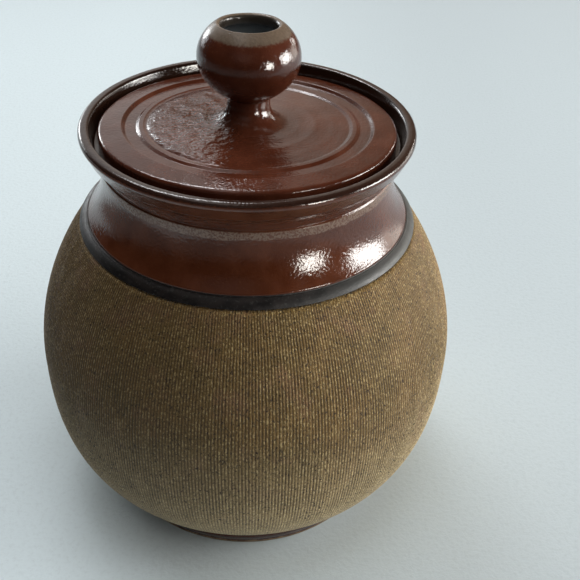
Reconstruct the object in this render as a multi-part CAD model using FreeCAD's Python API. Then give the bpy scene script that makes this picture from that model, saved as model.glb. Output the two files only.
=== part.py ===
"""Thrown stoneware storage jar with a loose lid.

The jar is a round-bellied pot on a turned foot ring. Above the belly runs a raised band, and
over it a coved shoulder closes in to a creased neck. The rim flares out from the neck and holds
a gallery: a recessed ledge that the lid sits on, a little below the lip. The lid is a disc with
a turned channel near its edge, a locating collar below, and a hollow ball on a waisted stem for
a knob, open at the top. Its seat and collar are level, and its upper side leans back a little, as
it came off the wheel.

Everything is turned about Z, with the resting plane at Z = 0 and sizes in millimetres. Each
piece is a half section in the X-Z plane, spun once round the axis. A section starts on the axis,
runs out along the underside and up the outside, and comes back down the inside.
"""

import FreeCAD, Part
import os
from math import asin, cos, pi, radians, sin, tan

# Belly of the jar.
JAR_HEIGHT = 165.6          # resting plane to the crest of the rim
BELLY_RADIUS = 84.1
BELLY_HEIGHT = 71.5         # height of the widest place
FULLNESS_ABOVE = 1.85       # 2 is an ellipse, and more is squarer
FULLNESS_BELOW = 2.75
WALL = 5.2

# Foot ring and floor.
FOOT_RADIUS = 60.0          # at the fattest place of its roll
FOOT_HEIGHT = 9.2           # resting plane to the groove under the belly
FOOT_ROLL = 1.0             # how far the roll stands out past its top and bottom
FOOT_WIDTH = 6.0
FOOT_RECESS = 3.6           # depth of the hollow inside the ring
FOOT_GROOVE = 0.8           # depth of the groove between the ring and the belly
FOOT_ROUNDING = 1.0
FLOOR_THICKNESS = 6.6
FLOOR_CORNER = 10.0         # width of the curve between the floor and the wall

# Raised band between the belly and the shoulder.
BAND_INSET = 19.6           # widest place of the belly in to the band's lower edge
BAND_WIDTH = 4.1            # up the slope of the pot
BAND_SLOPE = 46.0           # degrees from upright
BAND_STEP = 0.8             # how far the lower edge stands out from the belly
BAND_CROWN = 0.25           # how far its face bulges
BAND_LINE = 0.35            # depth and half width of the fine line along its upper edge

# Neck and rim.
SHOULDER_REACH = 9.8        # band's lower edge in to the neck
SHOULDER_HEIGHT = 25.4      # band's lower edge up to the top of the crease under the rim
NECK_UPRIGHT = 3.0          # upright stretch under the crease
CREASE_DEPTH = 0.5
CREASE_WIDTH = 1.3
RIM_HEIGHT = 12.9           # top of the crease up to the crest
RIM_FLARE = 6.7             # how far the lip stands out past the neck
RIM_WIDTH = 5.3             # from the lip in to the gallery's wall, at the ledge
LIP_WIDTH = 3.9
LIP_HEIGHT = 2.8            # height of the roll round the lip
LIP_ROLL = 0.5              # how far it stands out over the collar
LIP_BULGE = 0.8             # how round it is
LIP_ROUNDING = 1.2          # inner edge of the lip
COLLAR_HEIGHT = 7.0         # crest down to the ridge between the collar and the cove
COLLAR_TAPER = 2.0          # how much narrower the collar is at that ridge
COVE_DEPTH = 0.6            # depth of the hollow between the ridge and the crease
CORNER_ROUNDING = 0.6       # inner corner of the gallery
LEDGE_ROUNDING = 1.0        # edge of the ledge over the throat

# Lid.
LID_EDGE = 5.2              # mean thickness at the edge
LID_DROP = 1.5              # mean depth of its edge below the crest of the rim
LID_LEAN = 2.2              # degrees by which its upper side and knob lean back
LID_ROUNDING = 1.3
LID_MIDDLE = 5.0            # thickness inside the channel
LID_DOME = 1.0              # rise of the middle towards the stem
LID_CLEARANCE = 1.7         # edge of the lid to the gallery's wall, at the ledge
FIELD_RISE = 0.9            # rise from the edge to the channel
FIELD_WIDTH = 8.5           # edge of the lid in to the top of the channel's outer wall
CHANNEL_WIDTH = 6.3
CHANNEL_DEPTH = 1.1
CHANNEL_SLOPE = 1.2         # width of each of its walls
CHANNEL_ROUNDING = 0.5
BEAD_WIDTH = 1.5
BEAD_HEIGHT = 0.5           # bead inside the channel over the middle
COLLAR_CLEARANCE = 1.2      # locating collar under the lid to the throat
COLLAR_DEPTH = 4.6
COLLAR_WIDTH = 4.0
COLLAR_ROUNDING = 1.2

# Knob.
STEM_RADIUS = 7.7
STEM_HEIGHT = 9.8           # middle of the lid to the underside of the ball
STEM_FLARE = 7.0            # how far the foot of the stem spreads
FLARE_HEIGHT = 7.6
BALL_RADIUS = 18.5
BALL_WAIST = 14.3           # underside of the ball to its widest place
BALL_HEIGHT = 26.1          # underside of the ball to the top of its mouth
BALL_FULLNESS_BELOW = 1.85
BALL_FULLNESS_ABOVE = 2.05
BALL_WALL = 3.4
MOUTH_RADIUS = 10.0
MOUTH_ROUNDING = 1.5
CAVITY_FLOOR = 5.0          # radius of the flat floor inside the ball

CURVE_STEPS = 12            # points on each half of a bulging curve

# What follows from these.
NECK_HEIGHT = JAR_HEIGHT - RIM_HEIGHT
BAND_HEIGHT = NECK_HEIGHT - SHOULDER_HEIGHT
LEDGE_HEIGHT = JAR_HEIGHT - LID_DROP - LID_EDGE
BAND_RADIUS = BELLY_RADIUS - BAND_INSET
NECK_RADIUS = BAND_RADIUS - SHOULDER_REACH
THROAT_RADIUS = NECK_RADIUS - WALL
RIM_RADIUS = NECK_RADIUS + RIM_FLARE
GALLERY_RADIUS = RIM_RADIUS - RIM_WIDTH
LID_RADIUS = GALLERY_RADIUS - LID_CLEARANCE
CHANNEL_RADIUS = LID_RADIUS - FIELD_WIDTH
FLOOR_HEIGHT = FOOT_RECESS + FLOOR_THICKNESS


def place(radius, height):
    """Point of the half section."""
    return FreeCAD.Vector(radius, 0, height)


def line(start, end):
    """Straight edge."""
    return Part.makeLine(start, end)


def bowed(start, end, bow):
    """Arc whose middle stands off its chord by bow, to the right of the way from start to end."""
    chord = end - start
    aside = FreeCAD.Vector(chord.z, 0, -chord.x).normalize()
    middle = (start + end) * 0.5 + aside * bow
    return Part.Arc(start, middle, end).toShape()


def cove_centre(low, top):
    """Centre of the hollow arc that rises from low and arrives upright at top."""
    across = low.x - top.x
    along = top.z - low.z
    radius = (across**2 + along**2) / (2 * across)
    return place(top.x + radius, top.z)


def cove(low, top):
    """Hollow arc that rises from low and arrives upright at top."""
    centre = cove_centre(low, top)
    radius = centre.x - top.x
    half_turn = asin((top.z - low.z) / radius) / 2
    middle = place(centre.x - radius * cos(half_turn), centre.z - radius * sin(half_turn))
    return Part.Arc(low, middle, top).toShape()


def rounded(corners):
    """Edges of a broken line with rounded corners.

    corners holds (point, rounding) pairs. The two ends and a rounding of 0 stay sharp, and a
    rounding is limited to what the runs beside it leave room for.
    """
    edges = []
    start = corners[0][0]
    for (before, _), (corner, rounding), (after, _) in zip(corners, corners[1:], corners[2:]):
        if rounding == 0:
            edges.append(line(start, corner))
            start = corner
            continue
        back = before - corner
        ahead = after - corner
        half_angle = back.getAngle(ahead) / 2
        room = 0.45 * min(back.Length, ahead.Length)
        setback = min(rounding / tan(half_angle), room)
        radius = setback * tan(half_angle)
        back.normalize()
        ahead.normalize()
        inwards = (back + ahead).normalize()
        middle = corner + inwards * (radius / sin(half_angle) - radius)
        arc_end = corner + ahead * setback
        edges.append(line(start, corner + back * setback))
        edges.append(Part.Arc(corner + back * setback, middle, arc_end).toShape())
        start = arc_end
    edges.append(line(start, corners[-1][0]))
    return edges


def bulge(waist, end, fullness):
    """Points of a curve that stands upright at its waist and closes in to pass through end.

    The curve is a superellipse of the given fullness.
    """
    rise = end.z - waist.z
    closing = (1 - (end.x / waist.x) ** fullness) ** (1 / fullness)
    points = []
    for step in range(CURVE_STEPS + 1):
        # The steps shorten towards the end, where the curve turns most.
        share = sin(pi / 2 * step / CURVE_STEPS)
        radius = waist.x * (1 - (share * closing) ** fullness) ** (1 / fullness)
        points.append(place(radius, waist.z + share * rise))
    return points


def barrel(start, waist, end, start_fullness, end_fullness):
    """Smooth edge from start out to a waist and back in to end."""
    outwards = bulge(waist, start, start_fullness)[::-1]
    inwards = bulge(waist, end, end_fullness)
    spline = Part.BSplineCurve()
    spline.interpolate(outwards + inwards[1:])
    return spline.toShape()


def turned(edges):
    """Solid of a half section, closed along the axis and spun round it."""
    bottom = edges[0].Vertexes[0].Point
    top = edges[-1].Vertexes[-1].Point
    section = Part.Face(Part.Wire(edges + [line(top, bottom)]))
    return section.revolve(place(0, 0), FreeCAD.Vector(0, 0, 1), 360)


def foot(belly_start):
    """Edges of the underside and the roll of the foot, from the axis out to the belly."""
    edge_radius = FOOT_RADIUS - FOOT_ROLL
    inner_radius = edge_radius - FOOT_WIDTH
    roll_start = place(edge_radius, 2 * FOOT_ROUNDING)
    groove = place(belly_start.x - FOOT_GROOVE, FOOT_HEIGHT)
    edges = rounded([
        (place(0, FOOT_RECESS), 0),
        (place(inner_radius - FOOT_ROUNDING, FOOT_RECESS), FOOT_ROUNDING),
        (place(inner_radius, 0), FOOT_ROUNDING),
        (place(edge_radius, 0), FOOT_ROUNDING),
        (roll_start, 0),
    ])
    edges.append(bowed(roll_start, groove, FOOT_ROLL))
    edges.append(line(groove, belly_start))
    return edges


def rim(cove_start, inner_neck):
    """Edges from the crease of the neck up the rim, over the lip and down the throat."""
    collar_top = place(RIM_RADIUS - LIP_ROLL, JAR_HEIGHT - LIP_HEIGHT)
    ridge = place(collar_top.x - COLLAR_TAPER, JAR_HEIGHT - COLLAR_HEIGHT)
    lip_top = place(RIM_RADIUS - LIP_ROLL - LIP_BULGE, JAR_HEIGHT)
    edges = [
        bowed(cove_start, ridge, -COVE_DEPTH),
        line(ridge, collar_top),
        bowed(collar_top, lip_top, LIP_BULGE),
    ]
    edges += rounded([
        (lip_top, 0),
        (place(RIM_RADIUS - LIP_WIDTH, JAR_HEIGHT), LIP_ROUNDING),
        (place(GALLERY_RADIUS, LEDGE_HEIGHT), CORNER_ROUNDING),
        (place(THROAT_RADIUS, LEDGE_HEIGHT), LEDGE_ROUNDING),
        (inner_neck, 0),
    ])
    return edges


def make_jar():
    """Pot of one wall: foot, belly, band, shoulder, rim, gallery, throat and floor."""
    slope = radians(BAND_SLOPE)
    up_slope = place(-sin(slope), cos(slope))
    into_wall = place(-cos(slope), -sin(slope))
    waist = place(BELLY_RADIUS, BELLY_HEIGHT)
    belly_start = place(FOOT_RADIUS, FOOT_HEIGHT + FOOT_GROOVE)
    band_edge = place(BAND_RADIUS, BAND_HEIGHT)
    belly_end = band_edge - place(BAND_STEP, 0)
    band_top = band_edge + up_slope * BAND_WIDTH
    band_line = band_top + (up_slope + into_wall) * BAND_LINE
    shoulder_start = band_top + up_slope * 2 * BAND_LINE
    neck = place(NECK_RADIUS, NECK_HEIGHT - CREASE_WIDTH - NECK_UPRIGHT)
    crease_start = place(NECK_RADIUS, NECK_HEIGHT - CREASE_WIDTH)
    crease = place(NECK_RADIUS - CREASE_DEPTH, NECK_HEIGHT - CREASE_WIDTH / 2)
    cove_start = place(NECK_RADIUS, NECK_HEIGHT)

    # The inside follows the shoulder's arc and the belly a wall's thickness away.
    centre = cove_centre(shoulder_start, neck)
    inner_shoulder = shoulder_start + (shoulder_start - centre).normalize() * WALL
    inner_neck = place(THROAT_RADIUS, neck.z)
    inner_waist = place(BELLY_RADIUS - WALL, BELLY_HEIGHT)
    inner_end = belly_start + place(-cos(slope), sin(slope)) * WALL
    floor_edge = place(inner_end.x - FLOOR_CORNER, FLOOR_HEIGHT)
    corner_rise = inner_end.z - FLOOR_HEIGHT
    corner_bow = (FLOOR_CORNER**2 + corner_rise**2) ** 0.5 * corner_rise / FLOOR_CORNER / 4

    edges = foot(belly_start)
    edges.append(barrel(belly_start, waist, belly_end, FULLNESS_BELOW, FULLNESS_ABOVE))
    edges.append(line(belly_end, band_edge))
    edges.append(bowed(band_edge, band_top, BAND_CROWN))
    edges.append(line(band_top, band_line))
    edges.append(line(band_line, shoulder_start))
    edges.append(cove(shoulder_start, neck))
    edges.append(line(neck, crease_start))
    edges.append(line(crease_start, crease))
    edges.append(line(crease, cove_start))
    edges += rim(cove_start, inner_neck)
    edges.append(cove(inner_shoulder, inner_neck))
    edges.append(barrel(inner_shoulder, inner_waist, inner_end, FULLNESS_ABOVE, FULLNESS_BELOW))
    edges.append(bowed(inner_end, floor_edge, corner_bow))
    edges.append(line(floor_edge, place(0, FLOOR_HEIGHT)))
    return turned(edges)


def knob(stem_foot):
    """Edges of the stem and the hollow ball, from the foot of the stem round to the axis."""
    flare_top = place(STEM_RADIUS, stem_foot.z + FLARE_HEIGHT)
    underside = place(STEM_RADIUS, stem_foot.z + STEM_HEIGHT)
    waist = place(BALL_RADIUS, underside.z + BALL_WAIST)
    top = underside.z + BALL_HEIGHT
    mouth_outer = place(MOUTH_RADIUS + MOUTH_ROUNDING, top)
    mouth_inner = place(MOUTH_RADIUS, top - MOUTH_ROUNDING)
    inner_waist = place(BALL_RADIUS - BALL_WALL, waist.z)
    cavity_top = place(MOUTH_RADIUS, top - BALL_WALL)
    cavity_floor = place(CAVITY_FLOOR, underside.z + BALL_WALL)
    quarter_bow = MOUTH_ROUNDING * (1 - cos(pi / 4))
    return [
        cove(stem_foot, flare_top),
        line(flare_top, underside),
        barrel(underside, waist, mouth_outer, BALL_FULLNESS_BELOW, BALL_FULLNESS_ABOVE),
        bowed(mouth_outer, mouth_inner, -quarter_bow),
        line(mouth_inner, cavity_top),
        barrel(cavity_top, inner_waist, cavity_floor, BALL_FULLNESS_ABOVE, BALL_FULLNESS_BELOW),
        line(cavity_floor, place(0, cavity_floor.z)),
    ]


def lid_seat(ceiling):
    """Level body whose underside is the lid's: ceiling, locating collar and seat on the ledge."""
    collar_outer = THROAT_RADIUS - COLLAR_CLEARANCE
    collar_inner = collar_outer - COLLAR_WIDTH
    collar_foot = LEDGE_HEIGHT - COLLAR_DEPTH
    clear_of_edge = 2 * LID_RADIUS
    clear_of_knob = 2 * JAR_HEIGHT
    return turned(rounded([
        (place(0, ceiling), 0),
        (place(collar_inner, ceiling), COLLAR_ROUNDING),
        (place(collar_inner, collar_foot), COLLAR_ROUNDING),
        (place(collar_outer, collar_foot), COLLAR_ROUNDING),
        (place(collar_outer, LEDGE_HEIGHT), CORNER_ROUNDING),
        (place(clear_of_edge, LEDGE_HEIGHT), 0),
        (place(clear_of_edge, clear_of_knob), 0),
        (place(0, clear_of_knob), 0),
    ]))


def make_lid():
    """Lid of one piece: seat, edge, outer field, channel, bead, middle and knob.

    The upper side is turned about an axis that leans back, and the level seat is cut from it.
    """
    edge_top = LEDGE_HEIGHT + LID_EDGE
    channel_top = edge_top + FIELD_RISE
    channel_floor = channel_top - CHANNEL_DEPTH
    bead_outer = CHANNEL_RADIUS - CHANNEL_WIDTH
    bead_inner = bead_outer - BEAD_WIDTH
    bead_top = edge_top + BEAD_HEIGHT
    stem_foot = place(STEM_RADIUS + STEM_FLARE, edge_top + LID_DOME)
    below_collar = LEDGE_HEIGHT - 2 * COLLAR_DEPTH

    upper = turned(rounded([
        (place(0, below_collar), 0),
        (place(LID_RADIUS, below_collar), 0),
        (place(LID_RADIUS, edge_top), LID_ROUNDING),
        (place(CHANNEL_RADIUS, channel_top), CHANNEL_ROUNDING),
        (place(CHANNEL_RADIUS - CHANNEL_SLOPE, channel_floor), CHANNEL_ROUNDING),
        (place(bead_outer + CHANNEL_SLOPE, channel_floor), CHANNEL_ROUNDING),
        (place(bead_outer, bead_top), CHANNEL_ROUNDING),
        (place(bead_inner, bead_top), CHANNEL_ROUNDING),
        (place(bead_inner - CHANNEL_SLOPE, edge_top), CHANNEL_ROUNDING),
        (stem_foot, 0),
    ]) + knob(stem_foot))
    upper.rotate(place(0, edge_top), FreeCAD.Vector(1, 0, 0), -LID_LEAN)
    return upper.common(lid_seat(stem_foot.z - LID_MIDDLE))


def main():
    """Build each piece and write it to its own file."""
    os.makedirs("parts", exist_ok=True)
    for name, make in (("jar", make_jar), ("lid", make_lid)):
        solid = make()
        solid.exportStep(f"parts/{name}.step")
        print(f"{name}: {solid.Volume / 1000:.1f} cm3, valid {solid.isValid()}")


main()
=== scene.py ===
"""Looks of a thrown stoneware storage jar with a loose lid.

The jar's outside is made of closed pieces that meet at their edges: a combed belly of bare clay, a
slate-coloured band, a glazed body with shoulder, rim and inside, and a foot. The lid and its
hollow ball knob are one glazed piece. All are turned about Z and stand where the frame has them.
"""

import logging
from dataclasses import dataclass, field
from enum import Enum
from math import asin, cos, pi, radians, sin, sqrt, tan

import bpy
import numpy as np
from mathutils import Matrix, Vector, noise


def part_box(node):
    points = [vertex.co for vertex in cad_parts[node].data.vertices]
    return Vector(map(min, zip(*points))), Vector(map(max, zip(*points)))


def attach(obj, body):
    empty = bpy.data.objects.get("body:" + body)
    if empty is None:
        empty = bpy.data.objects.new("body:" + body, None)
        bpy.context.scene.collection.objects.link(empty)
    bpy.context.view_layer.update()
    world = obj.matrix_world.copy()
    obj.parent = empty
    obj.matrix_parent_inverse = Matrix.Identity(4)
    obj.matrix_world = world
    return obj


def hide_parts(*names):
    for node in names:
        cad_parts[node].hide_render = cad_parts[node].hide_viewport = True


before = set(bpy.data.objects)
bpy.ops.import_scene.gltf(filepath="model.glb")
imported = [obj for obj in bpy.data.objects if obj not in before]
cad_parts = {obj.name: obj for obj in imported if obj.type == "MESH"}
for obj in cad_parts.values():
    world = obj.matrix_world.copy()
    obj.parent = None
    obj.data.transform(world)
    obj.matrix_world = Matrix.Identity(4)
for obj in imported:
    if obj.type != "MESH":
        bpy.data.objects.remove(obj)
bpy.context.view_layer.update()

MM = 0.001                  # the sizes below are in millimetres, and Blender's are in metres
SAME = 1e-6                 # points of an outline nearer than this are one point
LOG = logging.getLogger("jar")

Point = tuple[float, float]             # radius and height
Span = tuple[float, float]
Colour = tuple[float, float, float, float]
Socket = bpy.types.NodeSocket
Feed = Socket | bpy.types.ID | float | str | tuple[float, ...]


# ---------------------------------------------------------------------------------------------
# Node trees
# ---------------------------------------------------------------------------------------------


class Wiring:
    """Short calls that add nodes to a shader or geometry tree and join them."""

    def __init__(self, tree: bpy.types.NodeTree) -> None:
        """Work on the tree that the nodes go into."""
        self.tree = tree

    def add(self, kind: str, settings: dict | None = None, **inputs: Feed) -> bpy.types.Node:
        """Add a node.

        Args:
            kind: the node's type name.
            settings: values for the node's own properties.
            inputs: values or sockets for its inputs, by name with spaces as underscores.

        Returns:
            The new node.
        """
        node = self.tree.nodes.new(kind)
        for name, value in (settings or {}).items():
            setattr(node, name, value)
        for name, value in inputs.items():
            self.feed(node.inputs[name.replace("_", " ")], value)
        return node

    def feed(self, socket: Socket, value: Feed) -> None:
        """Join a socket to another socket, or give it a plain value.

        Args:
            socket: the input.
            value: another node's output, or a plain value.
        """
        if isinstance(value, Socket):
            self.tree.links.new(value, socket)
        else:
            socket.default_value = value

    def operate(self, kind: str, operation: str, values: tuple[Feed, ...]) -> bpy.types.Node:
        """Add a node that works on values or sockets in order.

        Args:
            kind: the node's type name.
            operation: what it does.
            values: what goes into its sockets, from the first on.

        Returns:
            The new node.
        """
        node = self.add(kind, {"operation": operation})
        for socket, value in zip(node.inputs, values):
            self.feed(socket, value)
        return node

    def math(self, operation: str, *values: Feed) -> Socket:
        """Result of a Math node on up to three values or sockets."""
        return self.operate("ShaderNodeMath", operation, values).outputs[0]

    def vector(self, operation: str, *values: Feed) -> Socket:
        """Result of a Vector Math node on up to three vectors or sockets."""
        return self.operate("ShaderNodeVectorMath", operation, values).outputs[0]

    def distance(self, first: Feed, second: Feed) -> Socket:
        """Distance between two points or sockets."""
        return self.operate("ShaderNodeVectorMath", "DISTANCE", (first, second)).outputs["Value"]

    def times(self, first: Feed, *others: Feed) -> Socket:
        """Product of values or sockets.

        Args:
            first: the first of them.
            others: the rest.

        Returns:
            The product's socket.
        """
        for other in others:
            first = self.math("MULTIPLY", first, other)
        return first

    def plus(self, first: Feed, second: Feed) -> Socket:
        """Sum of two values or sockets."""
        return self.math("ADD", first, second)

    def minus(self, first: Feed, second: Feed) -> Socket:
        """A value or socket less another."""
        return self.math("SUBTRACT", first, second)

    def axis(self, vector: Socket, letter: str) -> Socket:
        """One axis of a vector."""
        return self.add("ShaderNodeSeparateXYZ", Vector=vector).outputs[letter]

    def place(self) -> Socket:
        """Where on the piece a point lies, in metres."""
        return self.add("ShaderNodeTexCoord").outputs["Object"]

    def ramp(self, value: Feed, low: float, high: float, start: float = 0.0,
             end: float = 1.0) -> Socket:
        """Smooth step of a value.

        Args:
            value: the socket that is mapped.
            low: value that gives start.
            high: value that gives end.
            start: result at low.
            end: result at high.

        Returns:
            The mapped socket.
        """
        node = self.add("ShaderNodeMapRange", {"interpolation_type": "SMOOTHSTEP"})
        for socket, number in zip(node.inputs, (value, low, high, start, end)):
            self.feed(socket, number)
        return node.outputs[0]

    def noise(self, vector: Socket, period: float, detail: float = 2.0, roughness: float = 0.5,
              stretch: tuple[float, float, float] = (1, 1, 1)) -> Socket:
        """Noise in space.

        Args:
            vector: the point's socket, in metres.
            period: rough size of a blotch, in millimetres.
            detail: how many finer layers it has.
            roughness: how strong those are.
            stretch: how much longer its blotches are along each axis.

        Returns:
            The noise's value, about 0 to 1.
        """
        shrink = tuple(1 / (period * MM * share) for share in stretch)
        scaled = self.vector("MULTIPLY", vector, shrink)
        node = self.add("ShaderNodeTexNoise", Vector=scaled, Scale=1.0, Detail=detail,
                        Roughness=roughness)
        return node.outputs[0]

    def blend(self, share: Feed, first: Feed, second: Feed) -> Socket:
        """Mix of two colours.

        Args:
            share: how much of the second there is.
            first: colour or socket at share 0.
            second: colour or socket at share 1.

        Returns:
            The mixed colour's socket.
        """
        node = self.add("ShaderNodeMix", {"data_type": "RGBA"})
        for index, value in ((0, share), (6, first), (7, second)):
            self.feed(node.inputs[index], value)
        return node.outputs[2]

    def pick(self, test: Socket, yes: Socket, no: Socket) -> Socket:
        """One of two numbers in a geometry tree, by a test.

        Args:
            test: what decides.
            yes: the number if it holds.
            no: the number if it doesn't.

        Returns:
            The picked number's socket.
        """
        node = self.add("GeometryNodeSwitch", {"input_type": "FLOAT"})
        for socket, value in zip(node.inputs, (test, no, yes)):
            self.feed(socket, value)
        return node.outputs[0]

    def bump(self, height: Socket, depth: float, under: Socket | None = None) -> Socket:
        """Normal bent by a height.

        Args:
            height: the height's socket, 0 to 1.
            depth: how many millimetres that range stands for.
            under: normal that this relief lies on.

        Returns:
            The normal's socket.
        """
        node = self.add("ShaderNodeBump", Strength=1.0, Distance=depth * MM, Height=height)
        if under is not None:
            self.feed(node.inputs["Normal"], under)
        return node.outputs[0]


class Surface:
    """An empty material whose shader the finishes fill in."""

    def __init__(self, name: str) -> None:
        """Make the material under the given name.

        Args:
            name: the material's name.
        """
        self.material = bpy.data.materials.new(name)
        self.material.use_nodes = True
        self.w = Wiring(self.material.node_tree)
        self.inputs = self.material.node_tree.nodes["Principled BSDF"].inputs

    def set(self, **values: Feed) -> bpy.types.Material:
        """Give the shader's inputs values or sockets, by name with spaces as underscores.

        Args:
            values: what each input gets.

        Returns:
            The material.
        """
        for name, value in values.items():
            self.w.feed(self.inputs[name.replace("_", " ")], value)
        return self.material


# ---------------------------------------------------------------------------------------------
# Finishes
# ---------------------------------------------------------------------------------------------


@dataclass(frozen=True)
class BareClay:
    """Unglazed stoneware, combed while wet: dry, sandy and blotched by the kiln."""

    tan: Colour = (0.258, 0.147, 0.039, 1)
    olive: Colour = (0.210, 0.127, 0.032, 1)
    warm: Colour = (0.298, 0.157, 0.071, 1)
    bounce_light: Colour = (0.66, 0.49, 0.25, 1)        # painted bounce light from the table, towards the foot
    straw: Colour = (0.57, 0.415, 0.180, 1)     # sandy flecks and painted highlights on the comb ridges
    cream: Colour = (0.95, 0.75, 0.42, 1)       # sandy flecks and painted highlights, paler near the foot under the painted bounce light
    pit_and_groove_shade: Colour = (0.022, 0.012, 0.005, 1)      # holes, and dirt with painted shade in the comb grooves
    left_shade: Colour = (0.022, 0.016, 0.009, 1)    # painted shade on the left side
    dust: Colour = (0.85, 0.93, 1.0, 1)
    bounce_light_heights: Span = (0.092, 0.034)        # where the painted bounce light starts and is strongest, metres
    left_shade_sides: Span = (0.045, -0.030)        # where the painted shade starts and is darkest
    roughness: float = 0.72
    dash_depth: float = 0.24
    pit_depth: float = 0.26
    sand_depth: float = 0.10

    def make(self) -> bpy.types.Material:
        """Build the material.

        Returns:
            The material.
        """
        surface = Surface("bare clay")
        w = surface.w
        place = w.place()
        groove = w.add("ShaderNodeAttribute", {"attribute_name": "groove"}).outputs["Fac"]
        blotch = w.noise(place, 22, 3, 0.6)
        warmth = w.noise(w.vector("ADD", place, (0.3, 0.1, 0.7)), 15, 3, 0.6)
        dash = w.noise(place, 0.66, 2, 0.6, (1, 1, 1.9))
        pitting = w.noise(w.vector("ADD", place, (0.2, 0.5, 0.4)), 0.7, 2, 0.6, (1, 1, 1.8))
        sand = w.noise(place, 0.5, 2, 0.6)
        lower = w.ramp(w.axis(place, "Z"), *self.bounce_light_heights)
        body = w.blend(w.ramp(blotch, 0.36, 0.64), self.tan, self.olive)
        body = w.blend(w.ramp(warmth, 0.52, 0.70, 0, 0.75), body, self.warm)
        # Painted bounce light from the table pales the clay towards the foot.
        body = w.blend(w.times(lower, 0.78), body, self.bounce_light)
        ridge = w.minus(1.0, w.times(groove, 0.8))
        fleck = w.blend(lower, self.straw, self.cream)
        # Pale dashes on the ridges: sandy flecks and painted highlights.
        body = w.blend(w.times(w.ramp(dash, 0.50, 0.66), ridge), body, fleck)
        # Painted shade, with dirt, darkens the comb grooves.
        body = w.blend(w.times(groove, 0.80), body, self.pit_and_groove_shade)
        body = w.blend(w.ramp(pitting, 0.45, 0.31, 0, 0.9), body, self.pit_and_groove_shade)
        body = w.blend(w.ramp(sand, 0.44, 0.30, 0, 0.6), body, self.pit_and_groove_shade)
        # Painted shade darkens the left side.
        side = w.plus(w.axis(place, "X"), w.times(blotch, 0.02))
        body = w.blend(w.ramp(side, *self.left_shade_sides, 0, 0.5), body, self.left_shade)
        relief = w.bump(pitting, self.pit_depth, w.bump(dash, self.dash_depth))
        return surface.set(Base_Color=body, Roughness=self.roughness, Specular_IOR_Level=0.3,
                           Sheen_Weight=0.12, Sheen_Roughness=0.4, Sheen_Tint=self.dust,
                           Normal=w.bump(sand, self.sand_depth, relief))


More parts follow.
